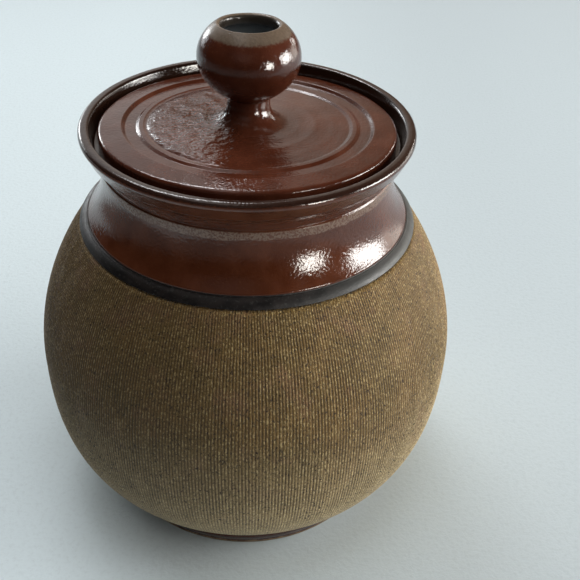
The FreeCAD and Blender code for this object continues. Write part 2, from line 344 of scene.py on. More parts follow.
@dataclass(frozen=True)
class BrownGlaze:
    """Glossy red-brown glaze over clay, with orange peel, a speckled ring, dark edges and painted
    shade on the rim's inner wall.
    """

    name: str = "brown glaze"
    deep: Colour = (0.076, 0.0190, 0.0068, 1)
    brown: Colour = (0.110, 0.032, 0.0140, 1)
    rust: Colour = (0.12, 0.045, 0.02, 1)
    edge: Colour = (0.024, 0.0105, 0.0072, 1)
    shade: Colour = (0.014, 0.006, 0.0035, 1)       # painted shade on the rim's inner wall
    speckle: Colour = (0.215, 0.135, 0.095, 1)      # where it breaks over the neck
    thin: tuple[Colour, Colour] = ((0.080, 0.057, 0.041, 1), (0.155, 0.113, 0.079, 1))
    bare: tuple[Colour, Colour] = ((0.21, 0.23, 0.24, 1), (0.035, 0.028, 0.022, 1))
    edge_heights: Span = (164.0, 164.9)            # where it breaks to near black, millimetres
    speckle_heights: Span = (149.45, 151.5)
    thin_from: float = 900.0                        # height where it thins to buff
    gallery: float = 58.3                           # radius of the rim's inner wall
    gallery_heights: Span = (157.2, 158.6)
    bare_heights: Span = (193.5, 198.5)            # inside the knob, from its floor to its mouth
    roughness: float = 0.115
    peel: float = 0.045                             # depth of the broad orange peel
    grain: float = 0.078                            # depth of the fine one
    ripple: float = 0.0                             # depth of wrinkles in thick glaze
    knob_middle: tuple[float, float, float] = (0, 0.00096, 0.1892)

    def hollow(self, w: Wiring, place: Socket) -> Socket:
        """Mask of the bare inside of the knob."""
        return w.ramp(w.distance(place, self.knob_middle), 0.0156, 0.0152)

    def ring(self, w: Wiring, place: Socket, height: Socket) -> Socket:
        """Mask of the speckled ring round the neck, ragged along its lower edge.

        Args:
            w: wiring of the material.
            place: the point's socket.
            height: its height's socket.

        Returns:
            The mask's socket.
        """
        low, high = (level * MM for level in self.speckle_heights)
        ragged = w.plus(height, w.times(w.noise(place, 5, 3, 0.6), 2.2 * MM))
        band = w.times(w.ramp(ragged, low - 0.25 * MM, low + 0.25 * MM),
                       w.ramp(height, high + 0.2 * MM, high - 0.2 * MM))
        return w.times(band, w.ramp(w.noise(place, 0.75, 2, 0.6), 0.38, 0.58, 0.2, 1.0))

    def inner_wall(self, w: Wiring, radius: Socket, height: Socket) -> Socket:
        """Mask of the painted shade on the rim's inner wall, by radius and height.

        Args:
            w: wiring of the material.
            radius: the point's distance from the axis.
            height: its height.

        Returns:
            The mask's socket.
        """
        low, high = (level * MM for level in self.gallery_heights)
        inside = w.ramp(radius, self.gallery * MM, (self.gallery - 0.6) * MM)
        return w.times(inside, w.ramp(height, low, high))

    def wrinkles(self, w: Wiring, place: Socket, radius: Socket, height: Socket) -> Socket:
        """Height of the wrinkles where the glaze pooled between the bead and the stem.

        Args:
            w: wiring of the material.
            place: the point's socket.
            radius: its distance from the axis.
            height: its height.

        Returns:
            The relief's socket, 0 to 1.
        """
        between = w.times(w.ramp(radius, 0.038, 0.034), w.ramp(height, 0.1735, 0.1715))
        ragged = w.plus(w.axis(place, "X"), w.times(w.noise(place, 11, 3, 0.6), 0.020))
        pooled = w.times(between, w.ramp(ragged, 0.012, -0.006))
        return w.times(w.noise(place, 6.5, 4, 0.62), pooled)

    def make(self) -> bpy.types.Material:
        """Build the material.

        Returns:
            The material.
        """
        surface = Surface(self.name)
        w = surface.w
        place = w.place()
        height = w.axis(place, "Z")
        radius = w.distance(w.vector("MULTIPLY", place, (1, 1, 0)), (0, 0, 0))
        freckle = w.noise(place, 1.0, 2, 0.6)
        body = w.blend(w.ramp(w.noise(place, 14, 3, 0.6), 0.35, 0.66), self.deep, self.brown)
        body = w.blend(w.ramp(freckle, 0.6, 0.75, 0, 0.35), body, self.rust)
        uneven = w.plus(height, w.times(w.minus(freckle, 0.5), MM))
        over = w.ramp(uneven, *(level * MM for level in self.edge_heights))
        body = w.blend(over, body, self.edge)
        body = w.blend(self.ring(w, place, height), body, self.speckle)
        # Painted shade on the rim's inner wall.
        body = w.blend(self.inner_wall(w, radius, height), body, self.shade)
        thin = w.ramp(uneven, self.thin_from * MM, (self.thin_from + 1.1) * MM)
        body = w.blend(thin, body, w.blend(freckle, *self.thin))
        bare = w.ramp(height, *(level * MM for level in self.bare_heights))
        body = w.blend(self.hollow(w, place), body, w.blend(bare, *self.bare))
        haze = w.noise(place, 6, 3, 0.6)
        gloss = w.ramp(haze, 0.3, 0.75, self.roughness * 0.75, self.roughness * 1.35)
        relief = w.bump(w.noise(place, 1.9, 2, 0.5), self.peel)
        if self.ripple:
            relief = w.bump(self.wrinkles(w, place, radius, height), self.ripple, relief)
        return surface.set(Base_Color=body, Roughness=w.plus(gloss, w.times(thin, 0.12)), IOR=1.55,
                           Normal=w.bump(w.noise(place, 0.95, 2, 0.6), self.grain, relief))


@dataclass(frozen=True)
class SlateGlaze:
    """Satin blue-grey slip on the raised band, with pale flecks and painted light on its right
    side.
    """

    dark: Colour = (0.006, 0.005, 0.005, 1)
    grey: Colour = (0.016, 0.0120, 0.0108, 1)
    # pale flecks, and painted light on the band's right side
    fleck_and_painted_light: Colour = (0.060, 0.060, 0.056, 1)
    painted_light_sides: Span = (0.012, 0.064)      # where the painted light starts and is strongest, metres
    roughness: float = 0.46
    fleck_depth: float = 0.05

    def make(self) -> bpy.types.Material:
        """Build the material.

        Returns:
            The material.
        """
        surface = Surface("slate band")
        w = surface.w
        place = w.place()
        cloud = w.noise(place, 5, 3, 0.6)
        fleck = w.noise(place, 0.9, 2, 0.6)
        slip = w.blend(w.ramp(cloud, 0.35, 0.68), self.dark, self.grey)
        # Painted light pales the band's right side.
        slip = w.blend(w.ramp(w.axis(place, "X"), *self.painted_light_sides), slip, self.fleck_and_painted_light)
        slip = w.blend(w.ramp(fleck, 0.55, 0.72, 0, 0.5), slip, self.fleck_and_painted_light)
        satin = w.ramp(cloud, 0.3, 0.7, self.roughness * 0.85, self.roughness * 1.2)
        return surface.set(Base_Color=slip, Roughness=satin, Specular_IOR_Level=0.35,
                           Normal=w.bump(fleck, self.fleck_depth))


@dataclass(frozen=True)
class FootFinish:
    """Dark glaze on the foot's roll, wiped back to bare clay where the foot stands."""

    glaze: Colour = (0.060, 0.020, 0.012, 1)
    clay: tuple[Colour, Colour] = ((0.25, 0.17, 0.095, 1), (0.17, 0.11, 0.06, 1))
    wiped_to: float = 1.3       # height of the wiped edge
    pore_depth: float = 0.04

    def make(self) -> bpy.types.Material:
        """Build the material.

        Returns:
            The material.
        """
        surface = Surface("foot glaze and clay")
        w = surface.w
        place = w.place()
        mottle = w.noise(place, 3, 3, 0.6)
        edge = w.plus(w.axis(place, "Z"), w.times(w.minus(mottle, 0.5), 1.2 * MM))
        glazed = w.ramp(edge, self.wiped_to * MM, (self.wiped_to + 0.3) * MM)
        clay = w.blend(w.ramp(mottle, 0.3, 0.7), *self.clay)
        return surface.set(Base_Color=w.blend(glazed, clay, self.glaze),
                           Roughness=w.ramp(glazed, 0, 1, 0.85, 0.2),
                           Normal=w.bump(w.noise(place, 0.8, 2, 0.5), self.pore_depth))


@dataclass(frozen=True)
class PaleTable:
    """Matt pale table with painted light on its left and painted shade on its right, that fades
    into the room where it is far off.
    """

    plain: Colour = (0.53, 0.60, 0.63, 1)
    lit_left: Colour = (0.60, 0.68, 0.71, 1)            # painted light on the left
    shaded: Colour = (0.455, 0.512, 0.537, 1)       # painted shade on the right
    speck: Colour = (0.30, 0.33, 0.34, 1)
    beyond: Colour = (0.22, 0.205, 0.20, 1)         # off the table, as the glaze mirrors it
    room: Colour = (0.60, 0.655, 0.675, 1)
    front: float = -0.26        # where the table ends, metres
    left: float = -0.27
    fade: Span = (0.45, 1.15)  # how far off it starts to fade, and is gone
    roughness: float = 0.6
    speck_depth: float = 0.20

    def off_table(self, w: Wiring, place: Socket, path: bpy.types.bpy_prop_collection) -> Socket:
        """Mask of what lies past the table's edges, for rays that don't come from the camera.

        Args:
            w: wiring of the material.
            place: the point's socket.
            path: outputs of a Light Path node.

        Returns:
            The mask's socket.
        """
        along = w.axis(place, "Y")
        front = w.ramp(along, self.front, self.front - 0.03)
        left = w.times(w.ramp(w.axis(place, "X"), self.left, self.left - 0.05),
                       w.ramp(along, 0.35, 0.2))
        mirrored = w.times(front, path["Is Glossy Ray"])
        aside = w.times(left, w.minus(1.0, path["Is Camera Ray"]))
        return w.math("MAXIMUM", mirrored, aside)

    def make(self) -> bpy.types.Material:
        """Build the material.

        Returns:
            The material.
        """
        surface = Surface("floor")
        w = surface.w
        place = w.place()
        path = w.add("ShaderNodeLightPath").outputs
        dimmer = tuple(part * 0.97 for part in self.plain[:3]) + (1,)
        top = w.blend(w.noise(place, 160, 2, 0.5), self.plain, dimmer)
        # Painted light on the left and painted shade on the right.
        across = w.ramp(w.axis(place, "X"), -0.16, 0.18)
        top = w.blend(across, self.lit_left, w.blend(0.9, top, self.shaded))
        speck = w.noise(place, 2.2, 3, 0.7)
        top = w.blend(w.ramp(speck, 0.45, 0.75, 0, 0.16), top, self.speck)
        top = w.blend(self.off_table(w, place, path), top, self.beyond)
        gone = w.times(w.ramp(w.distance(place, (0, 0, 0)), *self.fade), path["Is Camera Ray"])
        return surface.set(Base_Color=w.blend(gone, top, (0, 0, 0, 1)), Roughness=self.roughness,
                           Specular_IOR_Level=0.0, Emission_Strength=gone, Emission_Color=self.room,
                           Normal=w.bump(speck, self.speck_depth))


# ---------------------------------------------------------------------------------------------
# Turned outlines
# ---------------------------------------------------------------------------------------------


class Outline:
    """Half section of a turned piece: points from one end to the other, radius and height."""

    def __init__(self, radius: float, height: float, step: float) -> None:
        """Start an outline.

        Args:
            radius: radius of its first point, in millimetres.
            height: height of its first point.
            step: spacing of the points along curves.
        """
        self.points: list[Point] = [(radius, height)]
        self.step = step

    def line(self, radius: float, height: float) -> "Outline":
        """Straight run to a point.

        Args:
            radius: radius of the point.
            height: height of the point.

        Returns:
            The outline itself.
        """
        start = self.points[-1]
        length = sqrt((radius - start[0]) ** 2 + (height - start[1]) ** 2)
        count = max(1, round(length / self.step))
        for index in range(1, count + 1):
            share = index / count
            self.points.append((start[0] + (radius - start[0]) * share,
                                start[1] + (height - start[1]) * share))
        return self

    def bow(self, radius: float, height: float, rise: float) -> "Outline":
        """Arc to a point.

        Args:
            radius: radius of the arc's end.
            height: height of the arc's end.
            rise: how far its middle stands off the chord, to the right of the way.

        Returns:
            The outline itself.
        """
        start = np.array(self.points[-1])
        end = np.array((radius, height))
        chord = end - start
        length = float(np.hypot(*chord))
        aside = np.array((chord[1], -chord[0])) / length
        half = length / 2
        arc_radius = (half ** 2 + rise ** 2) / (2 * rise)
        centre = (start + end) / 2 + aside * (rise - arc_radius)
        sweep = 2 * asin(max(-1.0, min(1.0, half / abs(arc_radius))))
        if abs(rise) > half:
            sweep = 2 * pi - sweep
        turn = -sweep if arc_radius < 0 else sweep
        count = max(4, round(abs(arc_radius) * sweep / self.step))
        spoke = start - centre
        for index in range(1, count + 1):
            angle = turn * index / count
            self.points.append((float(centre[0] + spoke[0] * cos(angle) - spoke[1] * sin(angle)),
                                float(centre[1] + spoke[0] * sin(angle) + spoke[1] * cos(angle))))
        return self

    def cove(self, radius: float, height: float) -> "Outline":
        """Hollow arc that rises to a point and arrives there upright.

        Args:
            radius: radius of the arc's end.
            height: height of the arc's end.

        Returns:
            The outline itself.
        """
        low = self.points[-1]
        across = low[0] - radius
        along = height - low[1]
        arc_radius = (across ** 2 + along ** 2) / (2 * across)
        full = asin(along / arc_radius)
        count = max(4, round(arc_radius * full / self.step))
        centre = radius + arc_radius
        for index in range(count - 1, -1, -1):
            angle = full * index / count
            self.points.append((centre - arc_radius * cos(angle), height - arc_radius * sin(angle)))
        return self

    def corners(self, *corners: tuple[float, float, float]) -> "Outline":
        """Broken line with rounded corners.

        Args:
            corners: radius, height and rounding of each corner. The last one stays sharp.

        Returns:
            The outline itself.
        """
        for corner, following in zip(corners, corners[1:]):
            before = np.array(self.points[-1])
            place = np.array(corner[:2])
            back = before - place
            ahead = np.array(following[:2]) - place
            reach_back = float(np.hypot(*back))
            reach_ahead = float(np.hypot(*ahead))
            back /= reach_back
            ahead /= reach_ahead
            half_angle = float(np.arccos(np.clip(back @ ahead, -1, 1))) / 2
            setback = min(corner[2] / tan(half_angle), 0.45 * min(reach_back, reach_ahead))
            rounding = setback * tan(half_angle)
            start = place + back * setback
            end = place + ahead * setback
            self.line(float(start[0]), float(start[1]))
            chord = end - start
            inwards = back + ahead
            side = 1 if chord[1] * inwards[0] - chord[0] * inwards[1] < 0 else -1
            self.bow(float(end[0]), float(end[1]), side * rounding * (1 - sin(half_angle)))
        return self.line(corners[-1][0], corners[-1][1])

    def bulge(self, waist: Point, end: Point, fullness: Span, count: int) -> "Outline":
        """Superellipse out to a waist and back in to an end.

        Args:
            waist: the widest point.
            end: where it stops.
            fullness: its fullness on the way to the waist and past it.
            count: points on each half.

        Returns:
            The outline itself.
        """
        start = self.points[-1]
        for side, outer in ((-1, start), (1, end)):
            power = fullness[0] if side < 0 else fullness[1]
            closing = (1 - (outer[0] / waist[0]) ** power) ** (1 / power)
            steps = range(count - 1, -1, -1) if side < 0 else range(1, count + 1)
            for index in steps:
                share = sin(pi / 2 * index / count)
                radius = waist[0] * (1 - (share * closing) ** power) ** (1 / power)
                self.points.append((radius, waist[1] + share * (outer[1] - waist[1])))
        return self


# ---------------------------------------------------------------------------------------------
# Meshes
# ---------------------------------------------------------------------------------------------


def add_object(name: str, data: bpy.types.ID) -> bpy.types.Object:
    """Put an object in the scene.

    Args:
        name: its name.
        data: its mesh, light or camera.

    Returns:
        The object.
    """
    thing = bpy.data.objects.new(name, data)
    bpy.context.scene.collection.objects.link(thing)
    return thing


def read_points(mesh: bpy.types.Mesh, kind: str = "co") -> np.ndarray:
    """Places or normals of a mesh's vertices.

    Args:
        mesh: the mesh.
        kind: "co" for places, "normal" for normals.

    Returns:
        Their coordinates, one row each.
    """
    rows = np.zeros(len(mesh.vertices) * 3)
    mesh.vertices.foreach_get(kind, rows)
    return rows.reshape(-1, 3)


def write_points(mesh: bpy.types.Mesh, places: np.ndarray) -> None:
    """Move a mesh's vertices to new places."""
    mesh.vertices.foreach_set("co", places.ravel())
    mesh.update()


def turned(name: str, points: list[Point], columns: int,
           material: bpy.types.Material) -> bpy.types.Object:
    """Spin a closed outline about Z.

    Args:
        name: the piece's name.
        points: outline that runs so that the piece lies on its left, from below and outwards.
            Its two ends are on the axis, or it is a closed loop whose last point is its first.
        columns: how many steps there are round the axis.
        material: the piece's finish.

    Returns:
        The piece, with smooth faces that point outwards.
    """
    kept = [points[0]]
    for point in points[1:]:
        if abs(point[0] - kept[-1][0]) + abs(point[1] - kept[-1][1]) > SAME:
            kept.append(point)
    looped = kept[0][0] > SAME
    if looped:
        kept.pop()
    rings = kept if looped else kept[1:-1]
    angles = np.linspace(0, 2 * pi, columns, endpoint=False)
    circle = np.stack([np.cos(angles), np.sin(angles)], axis=1)
    cloud = np.concatenate([np.column_stack([circle * radius, np.full(columns, height)])
                            for radius, height in rings])
    faces: list[tuple[int, ...]] = []
    for row in range(len(rings) if looped else len(rings) - 1):
        low = row * columns
        high = (row + 1) % len(rings) * columns
        for column in range(columns):
            after = (column + 1) % columns
            faces.append((low + column, low + after, high + after, high + column))
    if not looped:
        first_pole = len(cloud)
        cloud = np.concatenate([cloud, [(0, 0, kept[0][1]), (0, 0, kept[-1][1])]])
        last = (len(rings) - 1) * columns
        for column in range(columns):
            after = (column + 1) % columns
            faces.append((first_pole, after, column))
            faces.append((last + column, last + after, first_pole + 1))
    mesh = bpy.data.meshes.new(name)
    mesh.from_pydata((cloud * MM).tolist(), [], faces)
    mesh.validate()
    mesh.shade_smooth()
    mesh.materials.append(material)
    return add_object(name, mesh)


def shake(piece: bpy.types.Object, depth: float, period: float, seed: float) -> None:
    """Give a piece the slight unevenness of a hand-thrown, thickly glazed one.

    Args:
        piece: the piece that is changed.
        depth: how far points move, in millimetres.
        period: rough size of a swelling, in millimetres.
        seed: shifts the pattern.
    """
    places = read_points(piece.data)
    normals = read_points(piece.data, "normal")
    shift = Vector((seed, seed * 0.7, seed * 1.3))
    moves = [noise.noise(Vector(place) / (period * MM) + shift) for place in places]
    places += normals * np.array(moves)[:, None] * depth * MM
    write_points(piece.data, places)


def new_group(name: str, numbers: tuple[str, ...],
              counts: tuple[str, ...]) -> tuple[Wiring, bpy.types.bpy_prop_collection]:
    """Make a geometry tree with named inputs and one geometry output.

    Args:
        name: the tree's name.
        numbers: names of its inputs that are plain numbers.
        counts: names of its inputs that are whole numbers.

    Returns:
        The tree's wiring, and its inputs as sockets by name.
    """
    tree = bpy.data.node_groups.new(name, "GeometryNodeTree")
    for kind, names in (("NodeSocketFloat", numbers), ("NodeSocketInt", counts)):
        for label in names:
            tree.interface.new_socket(label, in_out="INPUT", socket_type=kind)
    tree.interface.new_socket("Geometry", in_out="OUTPUT", socket_type="NodeSocketGeometry")
    return Wiring(tree), tree.nodes.new("NodeGroupInput").outputs


def grown(name: str, tree: bpy.types.NodeTree, values: dict[str, float]) -> bpy.types.Object:
    """Run a geometry tree and keep what it makes as a plain mesh.

    Args:
        name: the piece's name.
        tree: the geometry tree, which sets the finish.
        values: its inputs by name.

    Returns:
        The piece, without its modifier.
    """
    piece = add_object(name, bpy.data.meshes.new(name))
    modifier = piece.modifiers.new("Grown", "NODES")
    modifier.node_group = tree
    for item in tree.interface.items_tree:
        if item.in_out == "INPUT":
            modifier[item.identifier] = values[item.name]
    bpy.context.view_layer.update()
    graph = bpy.context.evaluated_depsgraph_get()
    mesh = bpy.data.meshes.new_from_object(piece.evaluated_get(graph), depsgraph=graph)
    piece.modifiers.remove(modifier)
    piece.data = mesh
    mesh.name = name
    return piece


# ---------------------------------------------------------------------------------------------
# Jar
# ---------------------------------------------------------------------------------------------


@dataclass
class JarSizes:
    """Sizes of the jar in millimetres, the overall ones read from the frame."""

    belly_height: float = 71.5
    fullness_above: float = 1.85
    fullness_below: float = 2.75
    wall: float = 5.2
    foot_radius: float = 60.0
    foot_height: float = 9.2
    foot_roll: float = 1.0
    foot_width: float = 6.0
    foot_recess: float = 3.6
    foot_groove: float = 0.8
    foot_rounding: float = 1.0
    floor_thickness: float = 6.6
    floor_corner: float = 10.0
    band_inset: float = 19.6
    band_width: float = 4.1
    band_slope: float = 46.0
    band_step: float = 0.8
    band_crown: float = 0.25
    band_line: float = 0.35
    shoulder_reach: float = 9.8
    shoulder_height: float = 25.4
    neck_upright: float = 3.0
    crease_depth: float = 0.5
    crease_width: float = 1.3
    rim_height: float = 12.9
    rim_flare: float = 6.7
    rim_width: float = 5.3
    lip_width: float = 3.9
    lip_height: float = 2.8
    lip_roll: float = 0.5
    lip_bulge: float = 0.8
    lip_rounding: float = 1.2
    collar_height: float = 7.0
    collar_taper: float = 2.0
    cove_depth: float = 0.6
    corner_rounding: float = 0.6
    ledge_rounding: float = 1.0
    ledge_depth: float = 6.7
    crest: float = field(default_factory=lambda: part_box("jar")[1].z / MM)
    belly_radius: float = field(default_factory=lambda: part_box("jar")[1].x / MM - 0.02)

    def __post_init__(self) -> None:
        """Work out the points that the pieces share."""
        slope = radians(self.band_slope)
        self.neck_height = self.crest - self.rim_height
        band_height = self.neck_height - self.shoulder_height
        self.band_edge = (self.belly_radius - self.band_inset, band_height)
        self.neck_radius = self.band_edge[0] - self.shoulder_reach
        self.throat_radius = self.neck_radius - self.wall
        self.rim_radius = self.neck_radius + self.rim_flare
        self.gallery_radius = self.rim_radius - self.rim_width
        self.ledge_height = self.crest - self.ledge_depth
        self.floor_height = self.foot_recess + self.floor_thickness
        self.belly_start = (self.foot_radius, self.foot_height + self.foot_groove)
        self.belly_end = (self.band_edge[0] - self.band_step, band_height)
        self.waist = (self.belly_radius, self.belly_height)
        self.band_top = (self.band_edge[0] - sin(slope) * self.band_width,
                         band_height + cos(slope) * self.band_width)
        self.shoulder_start = (self.band_top[0] - sin(slope) * 2 * self.band_line,
                               self.band_top[1] + cos(slope) * 2 * self.band_line)
        self.neck_foot = self.neck_height - self.crease_width - self.neck_upright


SKIN_NUMBERS = ("Waist radius", "Waist height", "Low radius", "Low height", "High radius",
                "High height", "Fullness above", "Fullness below", "Groove depth", "Thickness",
                "Wander", "Seed")
SKIN_COUNTS = ("Grooves", "Rows")


@dataclass
class CombedBelly:
    """Skin of bare clay on the belly, scored by a comb from the band down to the foot."""

    sizes: JarSizes
    grooves: int = 440
    rows: int = 50
    hidden_rows: int = 6
    depth: float = 0.30
    thickness: float = 2.4
    wander: float = 0.30
    seed: float = 3.0

    COLUMNS_PER_GROOVE = 4
    WELD = 0.004                # points of the two sheets nearer than this become one

    def profile(self, w: Wiring, given: bpy.types.bpy_prop_collection, height: Socket) -> Socket:
        """Radius of the superellipse at a height, above or below the waist.

        Args:
            w: wiring of the tree.
            given: the tree's inputs.
            height: the height's socket.

        Returns:
            The radius's socket.
        """
        above = w.math("GREATER_THAN", height, given["Waist height"])
        power = w.pick(above, given["Fullness above"], given["Fullness below"])
        end_radius = w.pick(above, given["High radius"], given["Low radius"])
        end_height = w.pick(above, given["High height"], given["Low height"])
        root = w.math("DIVIDE", 1.0, power)
        ratio = w.math("DIVIDE", end_radius, given["Waist radius"])
        closing = w.math("POWER", w.minus(1.0, w.math("POWER", ratio, power)), root)
        reach = w.math("DIVIDE", w.minus(height, given["Waist height"]),
                       w.minus(end_height, given["Waist height"]))
        share = w.math("POWER", w.times(reach, closing), power)
        return w.times(given["Waist radius"], w.math("POWER", w.minus(1.0, share), root))

    def spot(self, w: Wiring, radius: Socket, angle: Socket, height: Socket) -> Socket:
        """Point at a radius, an angle and a height."""
        return w.add("ShaderNodeCombineXYZ", X=w.times(radius, w.math("COSINE", angle)),
                     Y=w.times(radius, w.math("SINE", angle)), Z=height).outputs[0]

    def surface(self) -> bpy.types.NodeTree:
        """Node group that makes one face of the skin.

        Returns:
            A group that takes the belly's sizes and gives a combed, turned sheet.
        """
        w, given = new_group("Combed sheet", SKIN_NUMBERS, SKIN_COUNTS)
        columns = w.times(given["Grooves"], self.COLUMNS_PER_GROOVE)
        grid = w.add("GeometryNodeMeshGrid", Size_X=1.0, Size_Y=1.0,
                     Vertices_X=w.plus(columns, 1), Vertices_Y=given["Rows"])
        flat = w.add("GeometryNodeInputPosition").outputs[0]
        around = w.plus(w.axis(flat, "X"), 0.5)
        up = w.plus(w.axis(flat, "Y"), 0.5)
        column = w.math("ROUND", w.times(around, columns))
        rise = w.minus(given["High height"], given["Low height"])
        height = w.plus(given["Low height"], w.times(up, rise))
        radius = self.profile(w, given, height)
        angle = w.times(around, 2 * pi)

        # The comb wanders a little, and its teeth bite unevenly.
        place = w.vector("ADD", self.spot(w, radius, angle, height),
                         w.vector("MULTIPLY", (0.31, 0.17, 0.23), given["Seed"]))
        drift = w.minus(w.noise(place, 26, 1, 0.5, (1, 1, 2.5)), 0.5)
        jitter = w.minus(w.noise(place, 7, 1, 0.5, (1, 1, 9)), 0.5)
        sway = w.plus(w.times(drift, 3.0), w.times(jitter, 0.8))
        ends = w.times(w.ramp(up, 0.0, 0.02), w.ramp(up, 1.0, 0.985))
        move = w.times(sway, given["Wander"], ends)
        wandered = w.plus(angle, w.math("DIVIDE", move, radius))
        tooth = w.math("COSINE", w.times(column, 2 * pi / self.COLUMNS_PER_GROOVE))
        bite = w.math("POWER", w.times(w.minus(1.0, tooth), 0.5), 1.4)
        patch = w.ramp(w.noise(place, 5.5, 2, 0.6, (1, 1, 2)), 0.3, 0.62, 0.7, 1.1)
        low_fade = w.ramp(up, 0.0, 0.36, 0.14, 1.0)
        cut = w.times(w.times(bite, patch), w.times(low_fade, ends))
        sand = w.times(w.minus(w.noise(place, 1.4, 2, 0.6), 0.5), 0.35)
        carved = w.times(w.minus(w.times(sand, ends), cut), given["Groove depth"])
        inwards = w.times(given["Thickness"], w.math("SQRT", w.math("SINE", w.times(up, pi))))
        final = w.minus(w.plus(radius, carved), inwards)
        noted = w.add("GeometryNodeStoreNamedAttribute", {"data_type": "FLOAT", "domain": "POINT"},
                      Geometry=grid.outputs["Mesh"], Name="groove", Value=cut)
        placed = w.add("GeometryNodeSetPosition", Geometry=noted.outputs[0],
                       Position=self.spot(w, final, wandered, height))
        w.tree.links.new(placed.outputs[0], w.tree.nodes.new("NodeGroupOutput").inputs[0])
        return w.tree

    def skin(self, material: bpy.types.Material) -> bpy.types.NodeTree:
        """Node tree that closes two sheets into a skin.

        Args:
            material: the finish that it sets.

        Returns:
            The tree for the modifier.
        """
        sheet = self.surface()
        w, given = new_group("Combed belly", SKIN_NUMBERS, SKIN_COUNTS + ("Hidden rows",))

        def laid(**changed: Feed) -> Socket:
            """One sheet of the skin.

            Args:
                changed: inputs that differ from the skin's own, with spaces as underscores.

            Returns:
                The sheet's socket.
            """
            inputs = {name.replace(" ", "_"): given[name] for name in SKIN_NUMBERS + SKIN_COUNTS}
            group = w.add("GeometryNodeGroup", {"node_tree": sheet}, **(inputs | changed))
            return group.outputs[0]

        outer = laid(Thickness=0.0)
        inner = laid(Rows=given["Hidden rows"])
        joined = w.tree.nodes.new("GeometryNodeJoinGeometry")
        w.feed(joined.inputs[0], w.add("GeometryNodeFlipFaces", Mesh=inner).outputs[0])
        w.feed(joined.inputs[0], outer)
        closed = w.add("GeometryNodeMergeByDistance", Geometry=joined.outputs[0],
                       Distance=self.WELD * MM)
        smooth = w.add("GeometryNodeSetShadeSmooth", Geometry=closed.outputs[0])
        real = w.add("GeometryNodeRealizeInstances", Geometry=smooth.outputs[0])
        dressed = w.add("GeometryNodeSetMaterial", Geometry=real.outputs[0], Material=material)
        w.tree.links.new(dressed.outputs[0], w.tree.nodes.new("NodeGroupOutput").inputs[0])
        return w.tree

    def build(self, material: bpy.types.Material) -> bpy.types.Object:
        """Make the belly.

        Args:
            material: its finish.

        Returns:
            The finished piece.
        """
        sizes = self.sizes
        values = {
            "Waist radius": sizes.waist[0] * MM,
            "Waist height": sizes.waist[1] * MM,
            "Low radius": sizes.belly_start[0] * MM,
            "Low height": sizes.belly_start[1] * MM,
            "High radius": sizes.belly_end[0] * MM,
            "High height": sizes.belly_end[1] * MM,
            "Fullness above": sizes.fullness_above,
            "Fullness below": sizes.fullness_below,
            "Grooves": self.grooves,
            "Rows": self.rows,
            "Hidden rows": self.hidden_rows,
            "Groove depth": self.depth * MM,
            "Thickness": self.thickness * MM,
            "Wander": self.wander * MM,
            "Seed": self.seed,
        }
        return grown("jar_belly", self.skin(material), values)


@dataclass
class Band:
    """Raised band between the belly and the shoulder."""

    sizes: JarSizes
    bed: float = 2.0            # how deep it sits in the wall
    lap: float = 0.15           # how far it reaches below the belly's end
    edge_rounding: float = 0.25
    edge_width: float = 0.35
    edge_height: float = 0.34
    top_rounding: float = 0.2
    line_rounding: float = 0.15
    columns: int = 512

    def build(self, material: bpy.types.Material) -> bpy.types.Object:
        """Make the band.

        Args:
            material: its finish.

        Returns:
            The finished piece.
        """
        s = self.sizes
        slope = radians(s.band_slope)
        start = (s.belly_end[0] - self.bed, s.belly_end[1] - self.lap)
        line_floor = (s.band_top[0] - (sin(slope) + cos(slope)) * s.band_line,
                      s.band_top[1] + (cos(slope) - sin(slope)) * s.band_line)
        outline = Outline(*start, 0.35)
        outline.line(s.belly_end[0] - 0.1, start[1])
        outline.corners((s.band_edge[0], s.band_edge[1] - 0.1, self.edge_rounding),
                        (s.band_edge[0] - self.edge_width, s.band_edge[1] + self.edge_height, 0))
        outline.bow(s.band_top[0] + self.top_rounding, s.band_top[1] - self.top_rounding,
                    s.band_crown)
        outline.corners((*s.band_top, self.top_rounding), (*line_floor, self.line_rounding),
                        (*s.shoulder_start, 0))
        outline.line(s.shoulder_start[0] - self.bed * 0.8, s.shoulder_start[1] - self.bed * 0.8)
        outline.line(*start)
        return turned("jar_band", outline.points, self.columns, material)


